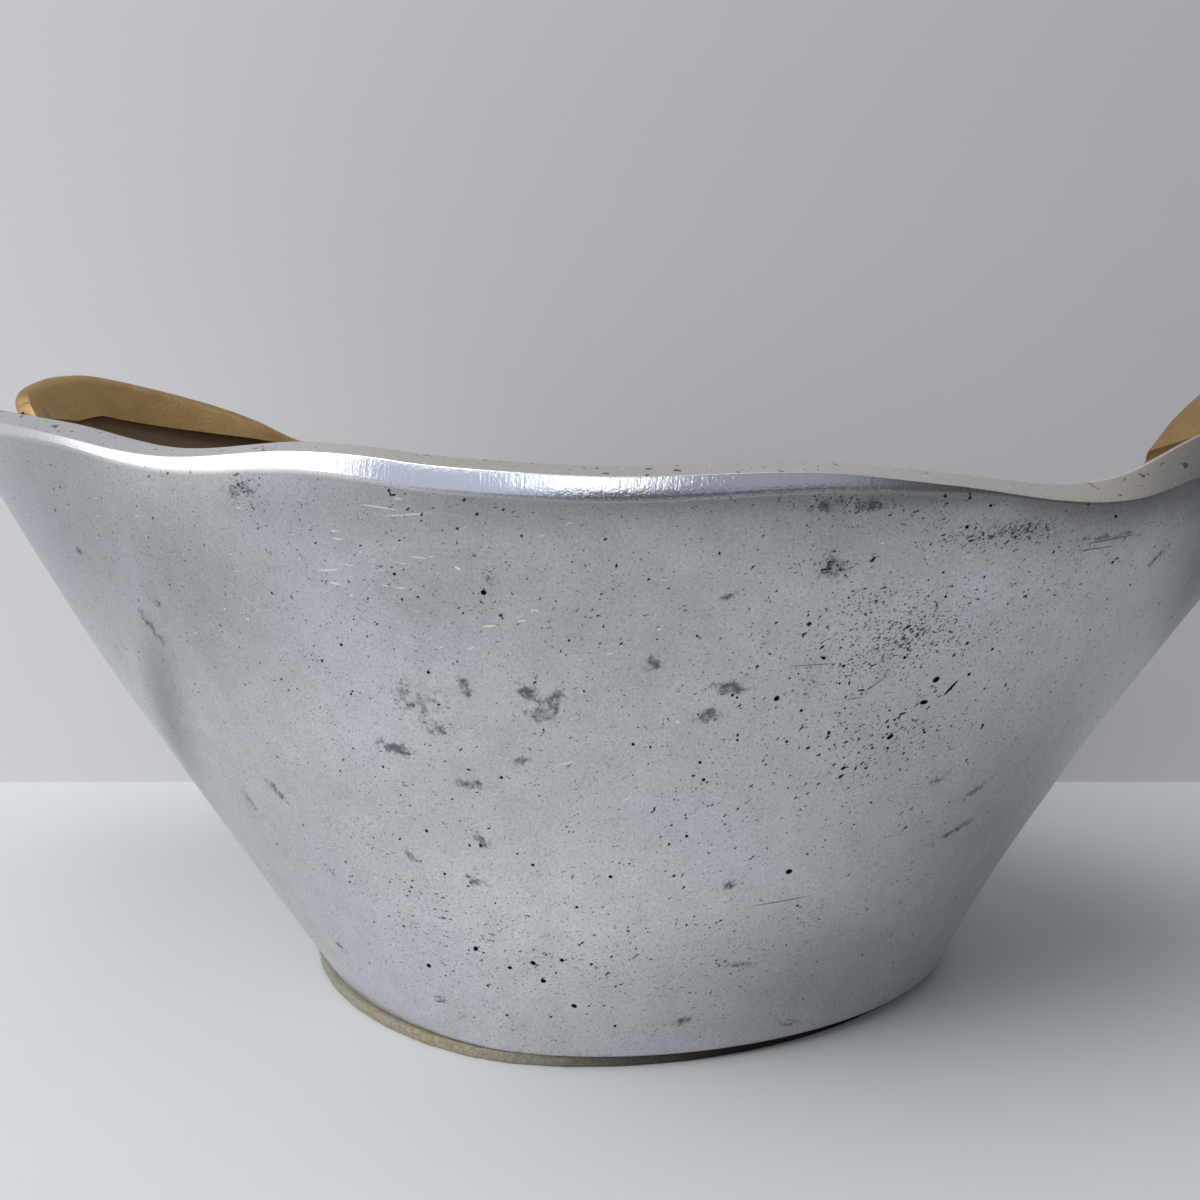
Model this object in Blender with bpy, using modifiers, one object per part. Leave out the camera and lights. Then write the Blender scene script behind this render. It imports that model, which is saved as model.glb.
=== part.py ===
"""Oval centrepiece bowl: a sand-cast aluminium body with a riveted cast-brass handle at each end.

The wall is a loft of oval rings that lean out from a flat foot to a wavy rim. Angles go round the bowl
from the right-hand end (0) by way of the back (90) and the left-hand end (180) to the front (270). Any point
of the wall is given by its angle, its height on the outer face, and its depth into the wall from that face.
Metres, +Z up, origin on the table under the middle of the foot.
"""
import math

import bmesh
import bpy
from mathutils import Vector

# Cork pad under the foot
PAD_THICKNESS = 0.0020
PAD_INSET = 0.0009
PAD_SHIFT = -0.0016

# Outside of the bowl: half sizes at the foot, and again at a fixed rise above it
FOOT_HALF_LENGTH = 0.0797
FOOT_HALF_DEPTH = 0.0853
REACH_RISE = 0.1177
LEFT_REACH = 0.1794
RIGHT_REACH = 0.1563
SIDE_REACH = 0.1289
LEFT_BELLY = 0.0063
RIGHT_BELLY = -0.0040
SIDE_BELLY = 0.0007
OVAL_POWER = 1.8

# Thickness and roundings of the casting
WALL = 0.0060
FLOOR = 0.0065
FOOT_ROUND = 0.0014
FLOOR_FILLET = 0.0120
RIM_ROUND_HEIGHT = 0.0034
RIM_ROUND_DEPTH = 0.0014
RIM_INNER_ROUND = 0.0008

# Rim: its highest point above the foot, and the drop from there, as angle in degrees and drop
RIM_HEIGHT = 0.1330
RIM_DROPS = (
    (0, 0.0055), (20, 0.0115), (34, 0.0180), (52, 0.0200), (75, 0.0170), (98, 0.0135), (122, 0.0155),
    (142, 0.0105), (160, 0.0055), (180, 0.0010), (200, 0.0000), (225, 0.0049), (239, 0.0095), (250, 0.0151),
    (262, 0.0148), (274, 0.0177), (285, 0.0194), (297, 0.0188), (306, 0.0206), (315, 0.0226), (321, 0.0212),
    (327, 0.0138), (340, 0.0055),
)

# Brass handles: a thick crest on the rim, and a tang that runs down inside the wall
SEAT_GAP = 0.0003
CREST_SETBACK = 0.0018
CREST_THICKNESS = 0.0105
TANG = 0.0030
TANG_DROP = 0.0250
TANG_END_DROP = 0.0060
LEFT_CREST = (
    (190, 0.0015), (188.6, 0.0045), (186.5, 0.0068), (183, 0.0098), (179, 0.0122), (175, 0.0143),
    (170, 0.0164), (163, 0.0162), (155, 0.0136), (149, 0.0096), (145, 0.0050), (139, 0.0015),
)
RIGHT_CREST = (
    (30, 0.0015), (28.4, 0.0095), (27, 0.0165), (25, 0.0199), (20, 0.0195), (12, 0.0175), (2, 0.0120),
    (-6, 0.0065), (-12, 0.0030), (-18, 0.0015),
)

# Brass rivets
RIVET_DIAMETER = 0.0045
RIVET_HEAD_DIAMETER = 0.0095
RIVET_TAIL_DIAMETER = 0.0072
RIVET_HEAD_HEIGHT = 0.0028
RIVET_RISE = 0.0130
RIVET_SHARES = (0.21, 0.46, 0.71)
HOLE_GAP = 0.0003

# Mesh fineness
COLUMNS = 84
WALL_ROWS = 7
ROUND_STEPS = 3
HANDLE_STATIONS = 26
TURNED_STEPS = 20

FOOT_Z = PAD_THICKNESS + SEAT_GAP
FLOOR_Z = FOOT_Z + FLOOR
TANG_DEPTH = WALL + SEAT_GAP
TANG_FACE = TANG_DEPTH + TANG


def clear_scene():
    """Start from an empty scene."""
    for thing in list(bpy.data.objects):
        bpy.data.objects.remove(thing, do_unlink=True)


def new_collection(name):
    group = bpy.data.collections.new(name)
    bpy.context.scene.collection.children.link(group)
    return group


def metal(name, colour, roughness, metallic):
    """A plain Principled material."""
    finish = bpy.data.materials.new(name)
    finish.use_nodes = True
    shader = finish.node_tree.nodes["Principled BSDF"]
    shader.inputs["Base Color"].default_value = (*colour, 1.0)
    shader.inputs["Roughness"].default_value = roughness
    shader.inputs["Metallic"].default_value = metallic
    return finish


def smooth_value(points, position):
    """Read a height off a smooth curve through (position, height) points in rising order."""
    index = 1
    while index < len(points) - 2 and position > points[index + 1][0]:
        index += 1
    (x0, y0), (x1, y1), (x2, y2), (x3, y3) = points[index - 1:index + 3]
    share = (position - x1) / (x2 - x1)
    start_slope = (y2 - y0) / (x2 - x0) * (x2 - x1)
    end_slope = (y3 - y1) / (x3 - x1) * (x2 - x1)
    return (
        y1 * (2 * share ** 3 - 3 * share ** 2 + 1)
        + start_slope * (share ** 3 - 2 * share ** 2 + share)
        + y2 * (3 * share ** 2 - 2 * share ** 3)
        + end_slope * (share ** 3 - share ** 2)
    )


def rim_height(theta):
    """Height of the rim's outer edge at an angle in radians."""
    before = [(angle - 360, drop) for angle, drop in RIM_DROPS]
    after = [(angle + 360, drop) for angle, drop in RIM_DROPS]
    return FOOT_Z + RIM_HEIGHT - smooth_value(before + list(RIM_DROPS) + after, math.degrees(theta) % 360)


def crest_height(crest, theta):
    """Height of a handle's crest above the rim it stands on."""
    ordered = sorted(crest)
    first, last = ordered[0], ordered[-1]
    padded = [(first[0] - 10, first[1])] + ordered + [(last[0] + 10, last[1])]
    return smooth_value(padded, math.degrees(theta))


def outer_wall(theta, height):
    """A point of the bowl's outer face."""
    right_share = (1 + math.cos(theta)) / 2
    reach = LEFT_REACH + (RIGHT_REACH - LEFT_REACH) * right_share
    belly = LEFT_BELLY + (RIGHT_BELLY - LEFT_BELLY) * right_share
    rise = (height - FOOT_Z) / REACH_RISE
    bow = 4 * rise * (1 - rise)
    half_length = FOOT_HALF_LENGTH + (reach - FOOT_HALF_LENGTH) * rise + belly * bow
    half_depth = FOOT_HALF_DEPTH + (SIDE_REACH - FOOT_HALF_DEPTH) * rise + SIDE_BELLY * bow
    power = 2 / OVAL_POWER
    along = math.copysign(abs(math.cos(theta)) ** power, math.cos(theta))
    across = math.copysign(abs(math.sin(theta)) ** power, math.sin(theta))
    return Vector((half_length * along, half_depth * across, height))


def wall_normal(theta, height):
    """Direction out of the wall."""
    turn = 0.002
    lift = 0.0005
    along = outer_wall(theta + turn, height) - outer_wall(theta - turn, height)
    upward = outer_wall(theta, height + lift) - outer_wall(theta, height - lift)
    return along.cross(upward).normalized()


def in_wall(theta, height, depth):
    """A point at a depth behind the outer face, square to the wall."""
    return outer_wall(theta, height) - wall_normal(theta, height) * depth


def level_in_wall(theta, level, depth):
    """A point at a depth behind the outer face and at an exact level."""
    height = level
    for _ in range(6):
        height += level - in_wall(theta, height, depth).z
    point = in_wall(theta, height, depth)
    point.z = level
    return point


def bend(start, corner, end, steps):
    """Points of a rounding from start to end, pulled towards a corner."""
    shares = [step / steps for step in range(steps + 1)]
    return [start * (1 - t) ** 2 + corner * 2 * t * (1 - t) + end * t ** 2 for t in shares]


def bowl_profile(theta):
    """One radial section of the bowl, from under the foot, up the outside and down inside to the floor."""
    rim = rim_height(theta)
    corner = outer_wall(theta, FOOT_Z)
    inward = Vector((corner.x, corner.y, 0)).normalized()
    under_foot = corner - inward * FOOT_ROUND
    points = bend(under_foot, corner, outer_wall(theta, FOOT_Z + FOOT_ROUND), ROUND_STEPS)

    low = FOOT_Z + FOOT_ROUND
    high = rim - RIM_ROUND_HEIGHT
    for row in range(1, WALL_ROWS):
        points.append(outer_wall(theta, low + (high - low) * row / WALL_ROWS))
    for step in range(ROUND_STEPS + 1):
        turn = math.pi / 2 * step / ROUND_STEPS
        drop = RIM_ROUND_HEIGHT * (1 - math.sin(turn))
        points.append(in_wall(theta, rim - drop, RIM_ROUND_DEPTH * (1 - math.cos(turn))))
    for step in range(ROUND_STEPS):
        turn = math.pi / 2 * step / (ROUND_STEPS - 1)
        drop = RIM_INNER_ROUND * (1 - math.cos(turn))
        points.append(in_wall(theta, rim - drop, WALL - RIM_INNER_ROUND * (1 - math.sin(turn))))

    inner_corner = level_in_wall(theta, FLOOR_Z, WALL)
    fillet_top = level_in_wall(theta, FLOOR_Z + FLOOR_FILLET, WALL)
    fillet_end = inner_corner - Vector((inner_corner.x, inner_corner.y, 0)).normalized() * FLOOR_FILLET
    top = rim - RIM_INNER_ROUND
    bottom = FLOOR_Z + FLOOR_FILLET
    for row in range(1, WALL_ROWS):
        share = row / WALL_ROWS
        height = top + (bottom - top) * share
        points.append(in_wall(theta, height, WALL) * (1 - share) + level_in_wall(theta, height, WALL) * share)
    points += bend(fillet_top, inner_corner, fillet_end, ROUND_STEPS)
    return points


def skin(name, rings, group, finish):
    """Skin a closed body through rings of points, with a flat face over the first and the last ring."""
    body = bmesh.new()
    loops = [[body.verts.new(point) for point in ring] for ring in rings]
    for lower, upper in zip(loops, loops[1:]):
        for index in range(len(lower)):
            after = (index + 1) % len(lower)
            body.faces.new((lower[index], lower[after], upper[after], upper[index]))
    body.faces.new(reversed(loops[0]))
    body.faces.new(loops[-1])
    bmesh.ops.recalc_face_normals(body, faces=body.faces)
    mesh = bpy.data.meshes.new(name)
    body.to_mesh(mesh)
    body.free()
    mesh.shade_smooth()
    mesh.set_sharp_from_angle(angle=math.radians(40))
    mesh.materials.append(finish)
    thing = bpy.data.objects.new(name, mesh)
    group.objects.link(thing)
    return thing


def make_bowl(group, finish):
    """The aluminium casting: floor, wall and rim in one."""
    profiles = [bowl_profile(2 * math.pi * column / COLUMNS) for column in range(COLUMNS)]
    rings = [[profile[row] for profile in profiles] for row in range(len(profiles[0]))]
    return skin("bowl_body", rings, group, finish)


def handle_section(crest, theta, share):
    """A handle's section: the crest stands on the rim, round on top, and the tang hangs inside the wall."""
    seat = rim_height(theta) + SEAT_GAP
    rise = crest_height(crest, theta)
    drop = TANG_END_DROP + (TANG_DROP - TANG_END_DROP) * math.sin(math.pi * share) ** 0.7
    fullness = min(1.0, rise / CREST_THICKNESS)
    tang_low = rim_height(theta) - drop
    inner = TANG_FACE + (CREST_SETBACK + CREST_THICKNESS - TANG_FACE) * fullness
    half = (inner - CREST_SETBACK) / 2
    crown = min(half, rise * 0.6)
    overhang = min(rise * 0.35, half)

    outline = [(CREST_SETBACK, seat)]
    steps = 2 * ROUND_STEPS
    for step in range(steps + 1):
        turn = math.pi * step / steps
        depth = CREST_SETBACK + half * (1 - math.cos(turn))
        outline.append((depth, seat + rise - crown * (1 - math.sin(turn))))
    outline += [
        (inner, seat + overhang),
        (TANG_FACE + (inner - TANG_FACE) * 0.5, seat + overhang * 0.3),
        (TANG_FACE, seat - TANG * 0.3),
        (TANG_FACE, tang_low + TANG),
        (TANG_FACE - TANG * 0.25, tang_low),
        (TANG_DEPTH + TANG * 0.25, tang_low),
        (TANG_DEPTH, tang_low + TANG),
        (TANG_DEPTH, seat),
    ]
    return [in_wall(theta, height, depth) for depth, height in outline]


def make_handle(name, crest, group, finish):
    """One brass handle, lofted from its steep end to its long tail."""
    start = math.radians(crest[0][0])
    end = math.radians(crest[-1][0])
    sections = []
    for station in range(HANDLE_STATIONS):
        share = (station / (HANDLE_STATIONS - 1)) ** 1.25
        sections.append(handle_section(crest, start + (end - start) * share, share))
    return skin(name, sections, group, finish)


def rivet_places(crest):
    """Angle and height of a handle's rivets, in a row above the tang's lower edge."""
    start = math.radians(crest[0][0])
    end = math.radians(crest[-1][0])
    angles = [start + (end - start) * share for share in RIVET_SHARES]
    return [(angle, rim_height(angle) - TANG_DROP + RIVET_RISE) for angle in angles]


def place_on_wall(thing, theta, height):
    """Stand an object on the wall's outer face, with its Z axis pointing out."""
    thing.location = outer_wall(theta, height)
    thing.rotation_euler = wall_normal(theta, height).to_track_quat("Z", "Y").to_euler()


def make_rivet(name, group, finish):
    """A solid turned rivet: a domed head outside, the shank, and a smaller head closed on the tang inside."""
    shank = RIVET_DIAMETER / 2
    head_seat = SEAT_GAP
    tail_seat = -TANG_FACE - SEAT_GAP
    head = []
    tail = []
    for step in range(ROUND_STEPS + 2):
        turn = math.pi / 2 * step / (ROUND_STEPS + 1)
        rise = RIVET_HEAD_HEIGHT * math.cos(turn)
        head.append((RIVET_HEAD_DIAMETER / 2 * math.sin(turn), head_seat + rise))
        tail.append((RIVET_TAIL_DIAMETER / 2 * math.sin(turn), tail_seat - rise))
    profile = head + [(shank, head_seat), (shank, tail_seat)] + tail[::-1]
    mesh = bpy.data.meshes.new(name)
    edges = [(index, index + 1) for index in range(len(profile) - 1)]
    mesh.from_pydata([(radius, 0, height) for radius, height in profile], edges, [])
    mesh.materials.append(finish)
    thing = bpy.data.objects.new(name, mesh)
    turned = thing.modifiers.new("turned", "SCREW")
    turned.steps = TURNED_STEPS
    turned.render_steps = TURNED_STEPS
    turned.use_merge_vertices = True
    turned.merge_threshold = 0.00001
    group.objects.link(thing)
    return thing


def drill(name, theta, height, pieces, group):
    """Drill a rivet hole through the wall and the tang."""
    reach = 2 * (TANG_FACE + RIVET_HEAD_DIAMETER)
    bpy.ops.mesh.primitive_cylinder_add(
        vertices=TURNED_STEPS, radius=RIVET_DIAMETER / 2 + HOLE_GAP, depth=reach
    )
    cutter = bpy.context.object
    cutter.name = name
    place_on_wall(cutter, theta, height)
    cutter.hide_render = True
    cutter.display_type = "WIRE"
    for owner in list(cutter.users_collection):
        owner.objects.unlink(cutter)
    group.objects.link(cutter)
    for piece in pieces:
        cut = piece.modifiers.new(name, "BOOLEAN")
        cut.operation = "DIFFERENCE"
        cut.object = cutter


def make_pad(group, finish):
    """The cork pad: cut from sheet to the foot's outline, a little smaller, and glued a little off centre."""
    outline = bpy.data.curves.new("base_pad", "CURVE")
    outline.dimensions = "2D"
    outline.fill_mode = "BOTH"
    outline.extrude = PAD_THICKNESS / 2
    spline = outline.splines.new("POLY")
    spline.points.add(COLUMNS - 1)
    spline.use_cyclic_u = True
    for column, point in enumerate(spline.points):
        edge = outer_wall(2 * math.pi * column / COLUMNS, FOOT_Z)
        edge.z = 0
        inset = edge - edge.normalized() * (FOOT_ROUND + PAD_INSET)
        point.co = (inset.x, inset.y, 0, 1)
    outline.materials.append(finish)
    pad = bpy.data.objects.new("base_pad", outline)
    pad.location = (PAD_SHIFT, 0, PAD_THICKNESS / 2)
    group.objects.link(pad)
    return pad


clear_scene()
bowl_parts = new_collection("centrepiece_bowl")
cutters = new_collection("cutters")
aluminium = metal("sand_cast_aluminium", (0.42, 0.43, 0.45), 0.38, 1.0)
brass = metal("cast_brass", (0.42, 0.29, 0.13), 0.32, 1.0)
rivet_brass = metal("rivet_brass", (0.47, 0.33, 0.15), 0.28, 1.0)
cork = metal("cork", (0.40, 0.34, 0.24), 0.9, 0.0)

bowl_body = make_bowl(bowl_parts, aluminium)
make_pad(bowl_parts, cork)
for side, crest_points in (("left", LEFT_CREST), ("right", RIGHT_CREST)):
    handle = make_handle(side + "_handle", crest_points, bowl_parts, brass)
    for number, (angle, level) in enumerate(rivet_places(crest_points), start=1):
        rivet = make_rivet(f"{side}_rivet_{number}", bowl_parts, rivet_brass)
        place_on_wall(rivet, angle, level)
        drill(f"{side}_hole_{number}", angle, level, (bowl_body, handle), cutters)
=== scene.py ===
import math

import bpy
import numpy as np
from mathutils import Matrix, Vector


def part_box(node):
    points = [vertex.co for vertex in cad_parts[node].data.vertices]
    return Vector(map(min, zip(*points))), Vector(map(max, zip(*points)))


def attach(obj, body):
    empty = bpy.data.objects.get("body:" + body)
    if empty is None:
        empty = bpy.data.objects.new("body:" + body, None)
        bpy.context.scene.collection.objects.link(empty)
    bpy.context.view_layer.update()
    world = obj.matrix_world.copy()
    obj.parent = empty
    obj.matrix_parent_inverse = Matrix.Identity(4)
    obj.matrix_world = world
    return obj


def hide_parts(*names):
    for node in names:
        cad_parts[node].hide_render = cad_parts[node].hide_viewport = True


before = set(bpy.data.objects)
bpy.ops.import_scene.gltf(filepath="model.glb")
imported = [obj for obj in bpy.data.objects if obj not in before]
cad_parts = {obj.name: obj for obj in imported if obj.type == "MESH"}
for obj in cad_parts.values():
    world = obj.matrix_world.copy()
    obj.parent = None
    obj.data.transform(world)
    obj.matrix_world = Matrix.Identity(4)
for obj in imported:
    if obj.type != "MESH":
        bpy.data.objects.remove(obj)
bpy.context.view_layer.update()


# Bowl casting
# One piece of sand-cast aluminium about 6 mm thick, ground and brushed by hand to a satin grey.
# The wall leans out from a flat oval foot to a wavy rim. The rim's face is left dull, and its outer edge is
# rounded over with a file and buffed bright, except at the front right, where it stays sharp.
FOOT_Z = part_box("bowl_body")[0].z
FOOT_HALF_LENGTH = 0.0797
FOOT_HALF_DEPTH = 0.0853
REACH_RISE = 0.1177
LEFT_REACH = 0.1794
RIGHT_REACH = 0.1563
SIDE_REACH = 0.1289
LEFT_BELLY = 0.0063
RIGHT_BELLY = -0.0040
SIDE_BELLY = 0.0007
OVAL_POWER = 1.8
WALL = 0.0060
FLOOR = 0.0065
FOOT_ROUND = 0.0007
FOOT_SPREAD = 0.0017
FOOT_SPREAD_TURN = math.radians(-48)
FOOT_SPREAD_FADE = 0.011
FLOOR_FILLET = 0.0120
RIM_INNER_ROUND = 0.0008
BROAD_RIPPLE = 0.00016
MIDDLE_RIPPLE = 0.00009
FINE_RIPPLE = 0.00005
ROLL_HEIGHT = 0.0160
ROLL_DEPTH = 0.0008
# These tables give a value by the angle in degrees, from the right-hand end by way of the back.
ROLL_SLOPES = (
    (0, 0.15), (90, 0.15), (240, 0.13), (270, 0.14), (290, 0.17), (302, 0.26), (325, 0.30), (345, 0.24),
)
BEVEL_SLOPE = 0.48
BEVEL_BULGE = 0.032
RIM_HEIGHT = 0.1330
RIM_DROPS = (
    (0, 0.0055), (20, 0.0115), (34, 0.0180), (52, 0.0200), (75, 0.0170), (98, 0.0135), (122, 0.0155),
    (142, 0.0105), (160, 0.0055), (180, 0.0010), (200, 0.0000), (225, 0.0049), (239, 0.0095), (250, 0.0151),
    (262, 0.0148), (274, 0.0177), (285, 0.0194), (297, 0.0188), (306, 0.0206), (315, 0.0226), (321, 0.0212),
    (327, 0.0138), (340, 0.0055),
)
BEVEL_HEIGHTS = (
    (0, 0.0016), (40, 0.0026), (90, 0.0030), (180, 0.0026), (225, 0.0018), (232, 0.0014), (239, 0.0014),
    (248, 0.0018), (257, 0.0023), (270, 0.0031), (280, 0.0030), (285, 0.0028), (293, 0.0025), (298, 0.0020),
    (302, 0.0014), (306, 0.0009), (310, 0.0004), (335, 0.0004),
)
FACE_DROPS = (
    (5, 0.0004), (40, 0.0004), (90, 0.0004), (180, 0.0004), (232, 0.0008), (240, 0.0012), (244, 0.0011),
    (248, 0.0006), (252, 0.0004), (262, 0.0006), (283, 0.0007), (300, 0.0006), (309, 0.0006), (313, 0.0008),
    (318, 0.0014), (321, 0.0023), (324.5, 0.0046), (329, 0.0058), (337, 0.0045), (350, 0.0012),
)
# How far the rim's face is darkened towards a dark grey at each angle, in patches.
FACE_DARKENING = (
    (0, 0.30), (90, 0.30), (180, 0.35), (225, 0.44), (244, 0.44), (250, 0.28), (264, 0.28), (270, 0.44),
    (290, 0.44), (297, 0.28), (302, 0.16), (308, 0.14), (314, 0.04), (318, 0), (322, 0.25), (325, 0.60),
    (345, 0.50),
)
FACE_WARMTH = (
    (0, 0.80), (90, 0.60), (180, 0.30), (225, 0), (252, 0), (260, 0.20), (268, 0.90), (279, 0.95),
    (286, 0.55), (293, 0.55), (304, 0.75), (312, 0.90), (318, 1.20), (340, 1.30),
)
BEVEL_SHARES = (0, 0.04, 0.15, 0.30, 0.45, 0.60, 0.75, 0.87, 0.97, 1)
FACE_SHARES = (0.05, 0.5, 0.95)
COLUMNS = 720
UNDER_FOOT_ROWS = 8
FOOT_ROUND_STEPS = 5
WALL_STEPS = 120
RIM_ROUND_ROWS = 7
INSIDE_STEPS = 70
FILLET_STEPS = 10
FLOOR_ROWS = 14
MEAN_RADIUS = 0.140


def smooth_curve(points, positions):
    """Read values off a smooth curve through (position, value) points in rising order."""
    spots, values = np.array(points, float).T
    index = np.clip(np.searchsorted(spots, positions) - 1, 1, len(spots) - 3)
    x0, x1, x2, x3 = (spots[index + step] for step in (-1, 0, 1, 2))
    y0, y1, y2, y3 = (values[index + step] for step in (-1, 0, 1, 2))
    share = (positions - x1) / (x2 - x1)
    start = (y2 - y0) / (x2 - x0) * (x2 - x1)
    end = (y3 - y1) / (x3 - x1) * (x2 - x1)
    square = share ** 2
    cube = share ** 3
    rising = 3 * square - 2 * cube
    return y1 * (1 - rising) + y2 * rising + start * (cube - 2 * square + share) + end * (cube - square)


def round_the_bowl(points, theta):
    """A smooth curve that closes on itself, read at angles in radians."""
    turns = [(angle + turn, value) for turn in (-360, 0, 360) for angle, value in points]
    return smooth_curve(turns, np.degrees(theta) % 360)


def rim_height(theta):
    """Height of the rim's top, at the inner edge of its face."""
    return FOOT_Z + RIM_HEIGHT - round_the_bowl(RIM_DROPS, theta)


def outer_wall(theta, height):
    """Points of the outer face: angle from the right-hand end by way of the back, and height."""
    theta, height = np.broadcast_arrays(theta, height)
    right_share = (1 + np.cos(theta)) / 2
    reach = LEFT_REACH + (RIGHT_REACH - LEFT_REACH) * right_share
    belly = LEFT_BELLY + (RIGHT_BELLY - LEFT_BELLY) * right_share
    rise = (height - FOOT_Z) / REACH_RISE
    bow = 4 * rise * (1 - rise)
    half_length = FOOT_HALF_LENGTH + (reach - FOOT_HALF_LENGTH) * rise + belly * bow
    half_depth = FOOT_HALF_DEPTH + (SIDE_REACH - FOOT_HALF_DEPTH) * rise + SIDE_BELLY * bow
    spread = np.clip(np.cos(theta - FOOT_SPREAD_TURN), 0, 1) ** 2
    spread = FOOT_SPREAD * spread * np.exp((FOOT_Z - height) / FOOT_SPREAD_FADE)
    along = np.sign(np.cos(theta)) * np.abs(np.cos(theta)) ** (2 / OVAL_POWER)
    across = np.sign(np.sin(theta)) * np.abs(np.sin(theta)) ** (2 / OVAL_POWER)
    return np.stack(((half_length + spread) * along, (half_depth + spread) * across, height), axis=-1)


def wall_normal(theta, height):
    """Directions out of the wall."""
    turn = 0.002
    lift = 0.0005
    along = outer_wall(theta + turn, height) - outer_wall(theta - turn, height)
    upward = outer_wall(theta, height + lift) - outer_wall(theta, height - lift)
    normal = np.cross(along, upward)
    return normal / np.linalg.norm(normal, axis=-1, keepdims=True)


def in_wall(theta, height, depth):
    """Points at a depth behind the outer face, square to the wall."""
    depth = np.broadcast_to(depth, np.broadcast_shapes(np.shape(theta), np.shape(height), np.shape(depth)))
    return outer_wall(theta, height) - wall_normal(theta, height) * depth[..., None]


def level_in_wall(theta, level, depth):
    """Points at a depth behind the outer face and at exact levels."""
    height = np.broadcast_to(level, np.shape(theta)).astype(float)
    tries = 6
    for _ in range(tries):
        height = height + level - in_wall(theta, height, depth)[..., 2]
    return in_wall(theta, height, depth)


def bend(start, corner, end, steps):
    """Rows of a rounding from start to end, pulled towards a corner."""
    shares = np.linspace(0, 1, steps + 1)
    return [start * (1 - t) ** 2 + corner * 2 * t * (1 - t) + end * t ** 2 for t in shares]


def hand_ripple(theta, height):
    """Slow ripples of a few tenths of a millimetre, as grinding by hand leaves them."""
    ripple = BROAD_RIPPLE * np.sin(5 * theta + 60 * height + 0.7) * np.sin(48 * height + 2 * theta)
    ripple += MIDDLE_RIPPLE * np.sin(13 * theta - 75 * height + 2.1)
    ripple += FINE_RIPPLE * np.sin(29 * theta + 140 * height) * np.sin(95 * height - 8 * theta + 1.3)
    return ripple


def rolled_in(theta, height, edge):
    """How far the top of the wall has rolled inwards on its way up to the filed edge."""
    share = np.clip(1 - (edge - height) / ROLL_HEIGHT, 0, 1)
    steep = round_the_bowl(ROLL_SLOPES, theta) * ROLL_HEIGHT
    return (steep - 2 * ROLL_DEPTH) * share ** 3 + (3 * ROLL_DEPTH - steep) * share ** 2


def inset(outline, distance):
    """Points moved towards the middle of the bowl, level."""
    flat = outline * (1, 1, 0)
    return outline - flat / np.linalg.norm(flat, axis=-1, keepdims=True) * np.reshape(distance, (-1, 1))


def skin_mesh(name, rows):
    """A closed mesh through rings of points, with a flat face over the first and the last ring."""
    rows = np.array(rows)
    count, columns = rows.shape[:2]
    ring = np.arange(columns)
    after = (ring + 1) % columns
    start = np.arange(count - 1)[:, None] * columns
    quads = np.stack((start + ring, start + after, start + after + columns, start + ring + columns), axis=-1)
    faces = quads.reshape(-1, 4).tolist()
    faces.append(ring[::-1].tolist())
    faces.append((ring + (count - 1) * columns).tolist())
    mesh = bpy.data.meshes.new(name)
    mesh.from_pydata(rows.reshape(-1, 3).tolist(), [], faces)
    mesh.shade_smooth()

    travel = np.linalg.norm(np.diff(rows, axis=0), axis=-1)
    travel = np.concatenate((np.zeros((1, columns)), np.cumsum(travel, axis=0)))
    travel = np.concatenate((travel, travel[:, :1]), axis=1)
    girth = np.arange(columns + 1) / columns * 2 * math.pi * MEAN_RADIUS
    spots = np.stack(np.broadcast_arrays(girth, travel), axis=-1)
    corners = np.stack((spots[:-1, :-1], spots[:-1, 1:], spots[1:, 1:], spots[1:, :-1]), axis=2)
    layer = mesh.uv_layers.new(name="metres")
    ends = np.zeros((2 * columns, 2))
    layer.data.foreach_set("uv", np.concatenate((corners.reshape(-1, 2), ends)).ravel())
    return mesh


def paint(mesh, name, values):
    """Store a value for each point of a mesh, for its material to read."""
    layer = mesh.attributes.new(name, "FLOAT", "POINT")
    layer.data.foreach_set("value", np.ascontiguousarray(values, dtype=np.float32).ravel())


def linear(hex_colour):
    """An sRGB hex colour as linear RGBA."""
    channels = [int(hex_colour[place:place + 2], 16) / 255 for place in (1, 3, 5)]
    return (*[c / 12.92 if c <= 0.04045 else ((c + 0.055) / 1.055) ** 2.4 for c in channels], 1.0)


def add_node(tree, kind, inputs=None, **settings):
    """Add a node to a material, set its options, and fill or link its inputs."""
    node = tree.nodes.new("ShaderNode" + kind)
    for option, value in settings.items():
        setattr(node, option, value)
    for socket, value in (inputs or {}).items():
        if isinstance(value, bpy.types.NodeSocket):
            tree.links.new(value, node.inputs[socket])
        else:
            node.inputs[socket].default_value = value
    return node


theta = np.linspace(0, 2 * math.pi, COLUMNS, endpoint=False)
rim = rim_height(theta)
edge = rim - round_the_bowl(FACE_DROPS, theta)
bevel_height = round_the_bowl(BEVEL_HEIGHTS, theta)
bevel_depth = bevel_height * BEVEL_SLOPE
corner = outer_wall(theta, FOOT_Z)
under_foot = inset(corner, FOOT_ROUND)
rows = [under_foot * (share, share, 1) for share in np.linspace(0.05, 0.98, UNDER_FOOT_ROWS)]
rows += bend(under_foot, corner, outer_wall(theta, FOOT_Z + FOOT_ROUND), FOOT_ROUND_STEPS)
for share in np.linspace(0, 1, WALL_STEPS)[1:-1]:
    height = FOOT_Z + FOOT_ROUND + (edge - bevel_height - FOOT_Z - FOOT_ROUND) * share
    ripple = hand_ripple(theta, height) * math.sin(math.pi * share) ** 0.5
    rows.append(in_wall(theta, height, rolled_in(theta, height, edge - bevel_height) - ripple))
wall_rows = len(rows)
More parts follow.
